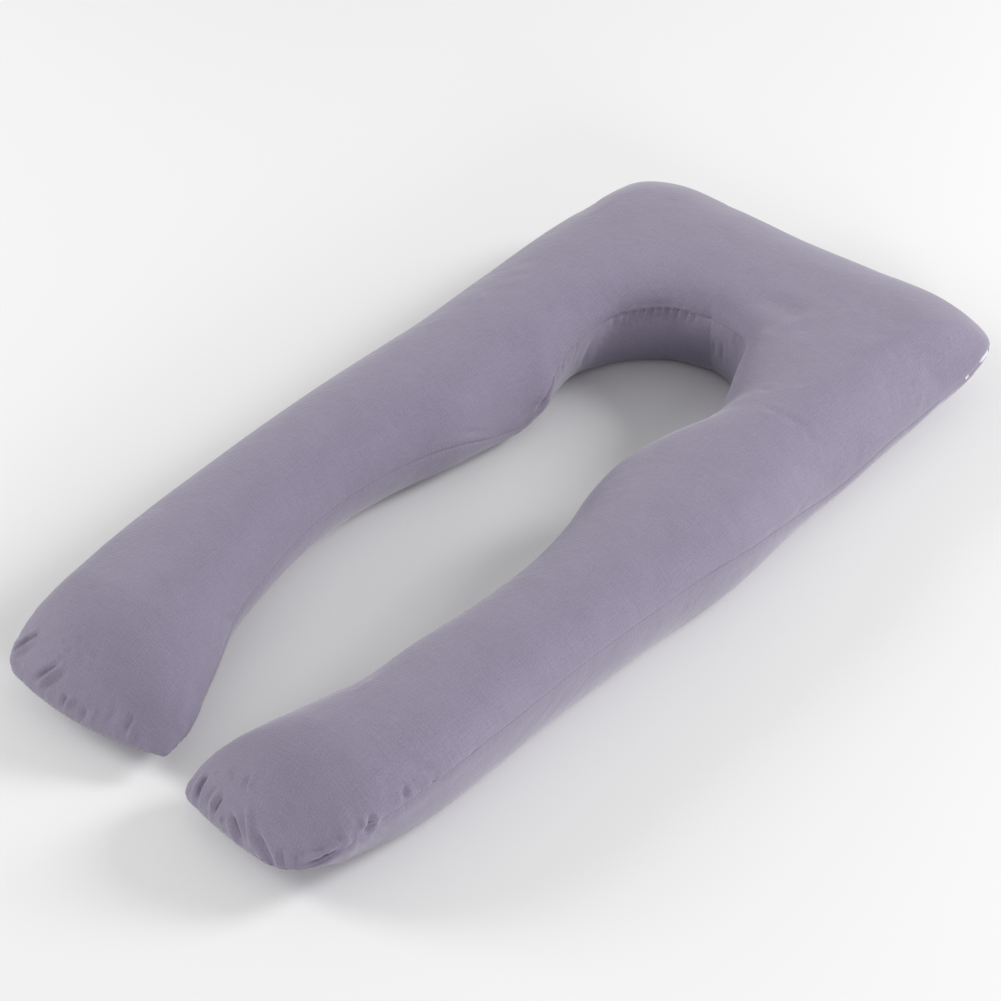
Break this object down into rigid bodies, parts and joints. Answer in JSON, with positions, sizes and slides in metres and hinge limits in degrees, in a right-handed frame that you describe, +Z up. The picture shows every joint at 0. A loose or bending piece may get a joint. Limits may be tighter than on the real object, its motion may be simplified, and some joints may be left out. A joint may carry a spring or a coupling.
{
  "type": "u-shaped pregnancy pillow",
  "caption": "Full-body pillow in a U: a stuffed bolster that bends round the head and runs down both sides, in a plain two-panel cover with a zip in its edge seam",
  "frame": {"origin": "on the surface the pillow lies on, below the middle of its bounding box", "axes": "+Y runs from the feet of the legs to the head end, +X to the right of a person seen from above lying with the head at the head end's hollow, +Z is up"},
  "size_m": [0.6534, 1.3896, 0.1601],
  "materials": {
    "cover": "plain dusty lavender-grey cotton, matte, with a fine thread",
    "zip": "white nylon coil zip"
  },
  "bodies": {
    "root": {"pillow": "cover", "zip_chain": "zip"}
  },
  "joints": []
}
